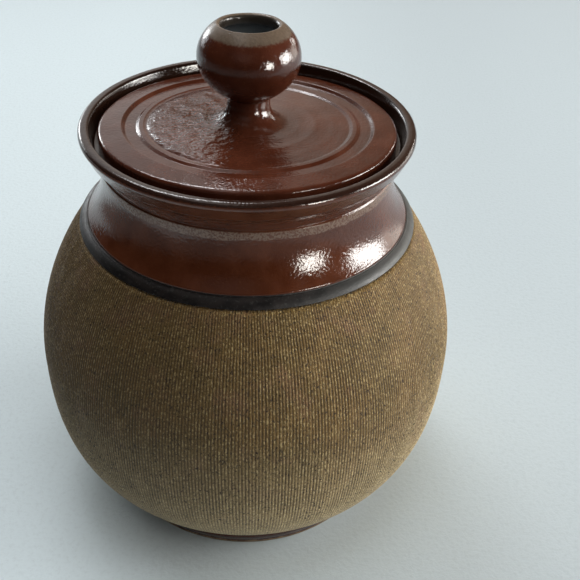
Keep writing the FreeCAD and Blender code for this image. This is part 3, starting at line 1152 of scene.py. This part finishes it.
@dataclass
class GlazedBody:
    """Shoulder, neck and rim, with the gallery, throat, inside wall and floor."""

    sizes: JarSizes
    bed: float = 2.6            # how far the glazed piece reaches into the wall
    heel_width: float = 8.0     # of the sloping hidden corner above the foot
    heel_inset: float = 1.5
    heel_height: float = 2.5
    seam: float = 0.5           # how far it stops short of the band, inside the wall
    shoulder_inset: float = 0.9
    crease_rounding: Span = (0.3, 0.25)
    columns: int = 384

    def hidden(self) -> list[Point]:
        """Half section inside the wall, from the axis under the floor up to the band.

        Returns:
            Its points.
        """
        s = self.sizes
        outline = Outline(0, s.floor_height - self.bed, 5)
        outline.line(s.belly_start[0] - self.heel_width, s.floor_height - self.bed)
        outline.line(s.belly_start[0] - self.heel_inset, s.belly_start[1] + self.heel_height)
        outline.bulge((s.waist[0] - self.bed, s.waist[1]),
                      (s.belly_end[0] - self.bed, s.belly_end[1] - self.seam),
                      (s.fullness_below, s.fullness_above), 12)
        return outline.line(s.shoulder_start[0] - self.shoulder_inset,
                            s.shoulder_start[1] - self.shoulder_inset).points

    def outer(self) -> list[Point]:
        """Half section from the band over the shoulder, neck and rim into the throat.

        Returns:
            Its points.
        """
        s = self.sizes
        outline = Outline(*s.shoulder_start, 0.7)
        outline.cove(s.neck_radius, s.neck_foot)
        outline.corners((s.neck_radius, s.neck_height - s.crease_width, self.crease_rounding[0]),
                        (s.neck_radius - s.crease_depth, s.neck_height - s.crease_width / 2,
                         self.crease_rounding[1]),
                        (s.neck_radius, s.neck_height, 0))
        collar_top = (s.rim_radius - s.lip_roll, s.crest - s.lip_height)
        outline.bow(collar_top[0] - s.collar_taper, s.crest - s.collar_height, -s.cove_depth)
        outline.line(*collar_top)
        outline.bow(collar_top[0] - s.lip_bulge, s.crest, s.lip_bulge)
        return outline.corners((s.rim_radius - s.lip_width, s.crest, s.lip_rounding),
                               (s.gallery_radius, s.ledge_height, s.corner_rounding),
                               (s.throat_radius, s.ledge_height, s.ledge_rounding),
                               (s.throat_radius, s.neck_foot, 0)).points

    def inner(self) -> list[Point]:
        """Half section from the throat down the inside wall to the middle of the floor.

        Returns:
            Its points.
        """
        s = self.sizes
        slope = radians(s.band_slope)
        inwards = s.wall * cos(slope)
        down = s.wall * sin(slope)
        outline = Outline(s.shoulder_start[0] - inwards, s.shoulder_start[1] - down, 2.0)
        outline.cove(s.throat_radius, s.neck_foot).points.reverse()
        low = (s.belly_start[0] - inwards, s.belly_start[1] + down)
        outline.bulge((s.waist[0] - s.wall, s.waist[1]), low,
                      (s.fullness_above, s.fullness_below), 24)
        rise = low[1] - s.floor_height
        outline.bow(low[0] - s.floor_corner, s.floor_height,
                    sqrt(s.floor_corner ** 2 + rise ** 2) * rise / s.floor_corner / 4)
        outline.step = 6
        return outline.line(0, s.floor_height).points

    def build(self, material: bpy.types.Material) -> bpy.types.Object:
        """Make the body with the given finish and return it."""
        points = self.hidden() + self.outer() + self.inner()
        return turned("jar_body", points, self.columns, material)


@dataclass
class Foot:
    """Turned foot ring with the recessed underside inside it."""

    sizes: JarSizes
    lap: Span = (0.35, 0.28)    # how far it reaches over the belly's start, out and up
    bed: Span = (3.0, 1.5)      # how far it reaches into the wall there
    heel_width: float = 9.0     # of the sloping hidden corner above that
    top_depth: float = 2.0      # how far its hidden top lies under the jar's floor
    columns: int = 384

    def outline(self) -> list[Point]:
        """Closed half section from the axis under the pot round to the axis inside it.

        Returns:
            Its points.
        """
        s = self.sizes
        edge = s.foot_radius - s.foot_roll
        inner = edge - s.foot_width
        start = s.belly_start
        top = s.floor_height - self.top_depth
        outline = Outline(0, s.foot_recess, 2.5)
        outline.line(inner - s.foot_rounding - 3, s.foot_recess)
        outline.step = 0.5
        outline.corners((inner - s.foot_rounding, s.foot_recess, s.foot_rounding),
                        (inner, 0, s.foot_rounding), (edge, 0, s.foot_rounding),
                        (edge, 2 * s.foot_rounding, 0))
        outline.bow(start[0] - s.foot_groove, s.foot_height, s.foot_roll)
        outline.line(start[0] + self.lap[0], start[1] + self.lap[1])
        outline.line(start[0] - self.bed[0], start[1] + self.bed[1])
        outline.step = 5
        return outline.line(start[0] - self.heel_width, top).line(0, top).points

    def build(self, material: bpy.types.Material) -> bpy.types.Object:
        """Make the foot with the given finish and return it."""
        return turned("jar_foot", self.outline(), self.columns, material)


# ---------------------------------------------------------------------------------------------
# Lid
# ---------------------------------------------------------------------------------------------


@dataclass
class Lid:
    """Lid of one piece: level seat and collar, leaning top with channel, bead, stem and knob."""

    jar: JarSizes
    edge: float = 5.2
    lean: float = 2.2           # degrees
    rounding: float = 1.3
    middle: float = 5.0
    dome: float = 1.0
    clearance: float = 1.7
    field_rise: float = 0.9
    field_width: float = 8.5
    channel_width: float = 6.3
    channel_depth: float = 1.1
    channel_slope: float = 1.2
    channel_rounding: float = 0.5
    bead_width: float = 1.5
    bead_height: float = 0.5
    collar_clearance: float = 1.2
    collar_depth: float = 4.6
    collar_width: float = 4.0
    collar_rounding: float = 1.2
    stem_radius: float = 7.7
    stem_height: float = 9.8
    stem_flare: float = 7.0
    flare_height: float = 7.6
    ball_radius: float = 18.5
    ball_waist: float = 14.3
    ball_height: float = 26.1
    ball_below: float = 1.85    # fullness of the knob under its waist
    ball_above: float = 2.05
    ball_wall: float = 3.4
    mouth_radius: float = 10.0
    mouth_rounding: float = 1.5
    cavity_floor: float = 5.0
    rings_end: float = 36.0     # how far out the throwing rings go
    rings_fade: float = 3.0
    ridge_radius: float = 24.5  # the one strong ring
    ridge_height: float = 0.13
    ridge_width: float = 1.5
    wave_height: float = 0.015
    wave_spacing: float = 4.3
    columns: int = 320

    def upper(self) -> list[Point]:
        """Half section of the leaning side, from the edge's foot to the axis in the knob.

        Returns:
            Its points.
        """
        radius = self.jar.gallery_radius - self.clearance
        ledge = self.jar.ledge_height
        top = ledge + self.edge
        channel_radius = radius - self.field_width
        channel_top = top + self.field_rise
        channel_floor = channel_top - self.channel_depth
        bead_outer = channel_radius - self.channel_width
        bead_inner = bead_outer - self.bead_width
        bead_top = top + self.bead_height
        stem_foot = (self.stem_radius + self.stem_flare, top + self.dome)
        small = self.channel_rounding
        outline = Outline(radius, ledge, 0.55)
        outline.corners(
            (radius, top, self.rounding),
            (channel_radius, channel_top, small),
            (channel_radius - self.channel_slope, channel_floor, small),
            (bead_outer + self.channel_slope, channel_floor, small),
            (bead_outer, bead_top, small),
            (bead_inner, bead_top, small),
            (bead_inner - self.channel_slope, top, small),
            (*stem_foot, 0),
        )
        outline.cove(self.stem_radius, stem_foot[1] + self.flare_height)
        return self.knob(outline, stem_foot[1] + self.stem_height)

    def knob(self, outline: Outline, under: float) -> list[Point]:
        """Carry an outline on over the hollow knob.

        Args:
            outline: the outline up to the stem.
            under: height of the stem's end, where the knob starts.

        Returns:
            All its points, down to the axis inside the knob.
        """
        waist_height = under + self.ball_waist
        crown = under + self.ball_height
        outline.line(self.stem_radius, under)
        outline.bulge((self.ball_radius, waist_height),
                      (self.mouth_radius + self.mouth_rounding, crown),
                      (self.ball_below, self.ball_above), 28)
        quarter = self.mouth_rounding * (1 - cos(pi / 4))
        outline.bow(self.mouth_radius, crown - self.mouth_rounding, quarter)
        outline.line(self.mouth_radius, crown - self.ball_wall)
        outline.bulge((self.ball_radius - self.ball_wall, waist_height),
                      (self.cavity_floor, under + self.ball_wall),
                      (self.ball_above, self.ball_below), 12)
        outline.step = 1.5
        return outline.line(0, under + self.ball_wall).points

    def lower(self) -> list[Point]:
        """Half section of the level side, from the axis under the lid out to its edge.

        Returns:
            Its points.
        """
        ledge = self.jar.ledge_height
        ceiling = ledge + self.edge + self.dome - self.middle
        outer = self.jar.throat_radius - self.collar_clearance
        inner = outer - self.collar_width
        foot = ledge - self.collar_depth
        outline = Outline(0, ceiling, 4)
        outline.line(inner - 4, ceiling)
        outline.step = 0.8
        return outline.corners(
            (inner, ceiling, self.collar_rounding),
            (inner, foot, self.collar_rounding),
            (outer, foot, self.collar_rounding),
            (outer, ledge, self.jar.corner_rounding),
            (self.jar.gallery_radius - self.clearance, ledge, 0),
        ).points

    def throwing(self, radius: np.ndarray) -> np.ndarray:
        """Height of the rings that fingers left between stem and bead.

        Args:
            radius: distances from the axis in millimetres.

        Returns:
            Rise of the surface at each, zero outside that field.
        """
        rings_start = self.stem_radius + self.stem_flare
        inside = (np.clip((radius - rings_start) / self.rings_fade, 0, 1)
                  * np.clip((self.rings_end - radius) / self.rings_fade, 0, 1))
        off_ridge = (radius - self.ridge_radius) / self.ridge_width
        waves = self.wave_height * np.sin(radius * 2 * pi / self.wave_spacing)
        return inside * (self.ridge_height * np.exp(-off_ridge ** 2) + waves)

    def lean_top(self, mesh: bpy.types.Mesh, first: int) -> None:
        """Lean the upper side and add its rings. The seat and collar stay level.

        Args:
            mesh: the turned lid, whose last two vertices are its lower and upper poles.
            first: index of the upper side's first vertex, after the ring that ends the seat.
        """
        places = read_points(mesh)
        ledge = self.jar.ledge_height * MM
        pivot = np.array((0, 0, (self.jar.ledge_height + self.edge) * MM))
        lean = np.array(Matrix.Rotation(radians(-self.lean), 3, "X"))
        axis = lean @ np.array((0, 0, 1.0))
        rings = self.throwing(np.hypot(places[:, 0], places[:, 1]) / MM)
        moved = (places - pivot) @ lean.T + pivot
        upper = [*range(first, len(places) - 2), len(places) - 1]

        # The seat's last ring slides along the leaning edge, back down onto the ledge.
        seat = slice(first - self.columns, first)
        slide = (ledge - moved[seat, 2]) / axis[2]
        places[seat] = moved[seat] + slide[:, None] * axis
        places[upper] = moved[upper] + rings[upper, None] * MM * axis
        write_points(mesh, places)

    def build(self, material: bpy.types.Material) -> bpy.types.Object:
        """Make the lid.

        Args:
            material: its finish.

        Returns:
            The finished piece.
        """
        below = self.lower()
        piece = turned("lid_glazed", below + self.upper()[1:], self.columns, material)
        self.lean_top(piece.data, (len(below) - 1) * self.columns)
        return piece


# ---------------------------------------------------------------------------------------------
# Studio
# ---------------------------------------------------------------------------------------------


class Reach(Enum):
    """What a soft box shows up on."""

    ALL = "everything"
    GLOSS = "a glint in the glaze only"
    MATT = "fill light only"


@dataclass(frozen=True)
class Window:
    """Soft box that lights the jar from far off, placed by bearing and height."""

    name: str
    bearing: float              # degrees from the front, positive to the right
    rise: float                 # degrees above the floor
    width: float                # degrees across
    height: float               # degrees high
    radiance: float             # 1 is white
    colour: tuple[float, float, float] = (1, 1, 1)
    reach: Reach = Reach.ALL
    distance: float = 1.6       # metres

    def build(self, target: Vector) -> bpy.types.Object:
        """Hang the box so that it faces the target.

        Args:
            target: the point that it faces.

        Returns:
            The box.
        """
        bearing = radians(self.bearing)
        rise = radians(self.rise)
        towards = Vector((sin(bearing) * cos(rise), -cos(bearing) * cos(rise), sin(rise)))
        light = bpy.data.lights.new(self.name, "AREA")
        light.shape = "RECTANGLE"
        light.size = 2 * self.distance * tan(radians(self.width / 2))
        light.size_y = 2 * self.distance * tan(radians(self.height / 2))
        light.energy = self.radiance * pi * light.size * light.size_y
        light.color = self.colour
        box = add_object(self.name, light)
        box.location = target + towards * self.distance
        box.rotation_euler = towards.to_track_quat("Z", "Y").to_euler()
        box.visible_diffuse = self.reach is not Reach.GLOSS
        box.visible_glossy = self.reach is not Reach.MATT
        return box


@dataclass
class Studio:
    """Pale floor, soft boxes, sky and camera."""

    windows: tuple[Window, ...] = (
        Window("front right window", 47, 4, 13, 17, 26, (1.0, 0.97, 0.90), Reach.GLOSS),
        Window("right window", 91, 9, 27, 19, 21, (1.0, 0.985, 0.95), Reach.GLOSS),
        Window("right daylight", 96, 17, 38, 28, 8.7, (1.0, 0.985, 0.95), Reach.MATT),
        Window("right wall", 120, 4, 24, 20, 3.2, (1.0, 0.96, 0.88)),
        Window("back left window", -140, 9, 30, 16, 2.6, (0.90, 0.96, 1.0)),
        Window("back left pane", -141, 11, 9, 9, 14, (0.97, 0.99, 1.0), Reach.GLOSS),
        Window("left daylight", -128, 45, 30, 30, 2.3, (0.95, 0.98, 1.0), Reach.MATT),
        Window("high window", -157, 51, 23, 8, 15, (0.97, 0.98, 1.0)),
        Window("overhead", 120, 85, 30, 30, 3.6, (0.97, 0.99, 1.0), Reach.MATT),
        Window("fill", 44, 38, 40, 30, 2.2, (1.0, 0.98, 0.95), Reach.MATT),
        Window("back right window", 137, 12, 7, 6, 10, (1.0, 0.97, 0.92)),
    )
    cool: Colour = (1.0, 0.975, 0.95, 1)    # tint of the room on the left
    warm: Colour = (1.0, 0.74, 0.54, 1)     # and on the right
    floor_reach: float = 4.0        # from the middle to each side, metres
    aim_below: float = 0.03         # how far under the rim the soft boxes point
    pitch: float = 0.629876         # how far the camera looks down, radians
    roll: float = 0.0389254
    lens: float = 55.27
    distance: float = 0.32475       # from the middle of the rim, metres
    aside: float = -0.046494        # where the middle of the rim is seen, as tangents
    above: float = 0.1915

    def floor(self) -> bpy.types.Object:
        """Lay the floor.

        Returns:
            The floor.
        """
        mesh = bpy.data.meshes.new("floor")
        side = self.floor_reach
        mesh.from_pydata([(-side, -side, 0), (side, -side, 0), (side, side, 0), (-side, side, 0)],
                         [], [(0, 1, 2, 3)])
        mesh.materials.append(PaleTable().make())
        piece = add_object("floor", mesh)
        return piece

    def room_level(self, w: Wiring, x: Socket, y: Socket, z: Socket) -> Socket:
        """How bright the room is in each direction.

        Args:
            w: wiring of the world.
            x: the direction's part to the right.
            y: its part away from the front.
            z: its part upwards.

        Returns:
            The brightness's socket.
        """
        behind = w.ramp(y, 0.15, 0.65)
        wall = w.times(w.ramp(z, 0.41, 0.56, 0.80, 0.60), w.ramp(x, -0.15, 0.25, 1.0, 0.24),
                       w.ramp(z, 0.66, 0.74, 1.0, 0.15), w.ramp(x, -0.82, -0.50, 0.15, 1.0))
        facing = w.times(w.ramp(x, -0.7, -0.1, 0.08, 1.0), w.ramp(x, 0.05, 0.35, 1.0, 0.10))
        low = w.ramp(z, 0.25, 0.45, 0.015, 0.15)
        high = w.ramp(z, 0.60, 0.75, 1.0, 0.25)
        ceiling = w.times(w.ramp(z, 0.86, 0.92, 0.0, 0.85), w.ramp(x, -0.01, -0.07, 0.05, 1.0))
        return w.plus(w.plus(w.times(low, high, facing), w.times(behind, wall)), ceiling)

    def sky(self) -> None:
        """Light the room: bright above and behind, dimmer in front, plain for the camera."""
        world = bpy.data.worlds.new("room")
        world.use_nodes = True
        w = Wiring(world.node_tree)
        towards = w.add("ShaderNodeTexCoord").outputs["Generated"]
        across, away, up = (w.axis(towards, letter) for letter in "XYZ")
        seen = w.add("ShaderNodeLightPath").outputs["Is Camera Ray"]
        tint = w.blend(w.ramp(across, -0.3, 0.35), self.cool, self.warm)
        level = w.times(self.room_level(w, across, away, up), w.minus(1.0, seen))
        shader = world.node_tree.nodes["Background"]
        w.feed(shader.inputs["Color"], w.blend(seen, tint, PaleTable.room))
        w.feed(shader.inputs["Strength"], w.plus(level, seen))
        bpy.context.scene.world = world

    def camera(self, rim: Vector) -> bpy.types.Object:
        """Place the camera.

        Args:
            rim: middle of the rim's crest.

        Returns:
            The camera.
        """
        forward = Vector((0, cos(self.pitch), -sin(self.pitch)))
        level_up = Vector((0, sin(self.pitch), cos(self.pitch)))
        right = cos(self.roll) * Vector((1, 0, 0)) + sin(self.roll) * level_up
        up = -sin(self.roll) * Vector((1, 0, 0)) + cos(self.roll) * level_up
        data = bpy.data.cameras.new("camera")
        data.lens = self.lens
        data.sensor_width = 36
        data.clip_start = 0.01
        camera = add_object("camera", data)
        turn = Matrix((right, up, -forward)).transposed().to_4x4()
        place = rim - self.distance * (forward + self.aside * right + self.above * up)
        camera.matrix_world = Matrix.Translation(place) @ turn
        bpy.context.scene.camera = camera
        return camera

    def build(self, rim: Vector) -> None:
        """Set up the whole studio round the rim's middle.

        Args:
            rim: middle of the rim's crest.
        """
        self.floor()
        self.sky()
        for window in self.windows:
            window.build(rim - Vector((0, 0, self.aim_below)))
        self.camera(rim)
        bpy.context.scene.view_settings.view_transform = "Standard"


# ---------------------------------------------------------------------------------------------
# Scene
# ---------------------------------------------------------------------------------------------


class Slot(Enum):
    """Names for three material slots. Nothing here gives a piece a slot."""

    CLAY = "bare_clay"
    GLAZE = "brown_glaze"
    SLATE = "slate_band"


def hand_over(piece: bpy.types.Object, node: str) -> None:
    """Give a finished piece to the frame.

    Args:
        piece: the piece.
        node: the node that it stands for.
    """
    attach(piece, "root")
    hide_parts(node)
    LOG.info("%s: %d faces", piece.name, len(piece.data.polygons))


def main() -> None:
    """Build the jar, the lid and the studio, and write down how large they came out."""
    logging.basicConfig(level=logging.INFO, format="%(name)s: %(message)s")
    jar = JarSizes()
    hand_over(CombedBelly(jar).build(BareClay().make()), "jar")
    hand_over(Band(jar).build(SlateGlaze().make()), "jar")
    body = GlazedBody(jar).build(BrownGlaze().make())
    shake(body, depth=0.05, period=9, seed=2.0)
    hand_over(body, "jar")
    hand_over(Foot(jar).build(FootFinish().make()), "jar")
    lid_glaze = BrownGlaze("lid glaze", deep=(0.054, 0.0140, 0.0068, 1),
                           brown=(0.078, 0.0215, 0.0110, 1), edge_heights=(950, 960),
                           thin_from=197.8, ripple=2.6, gallery=0)
    lid = Lid(jar).build(lid_glaze.make())
    shake(lid, depth=0.10, period=8, seed=5.0)
    hand_over(lid, "lid")
    Studio().build(Vector((0, 0, jar.crest * MM)))


if __name__ == "__main__":
    main()
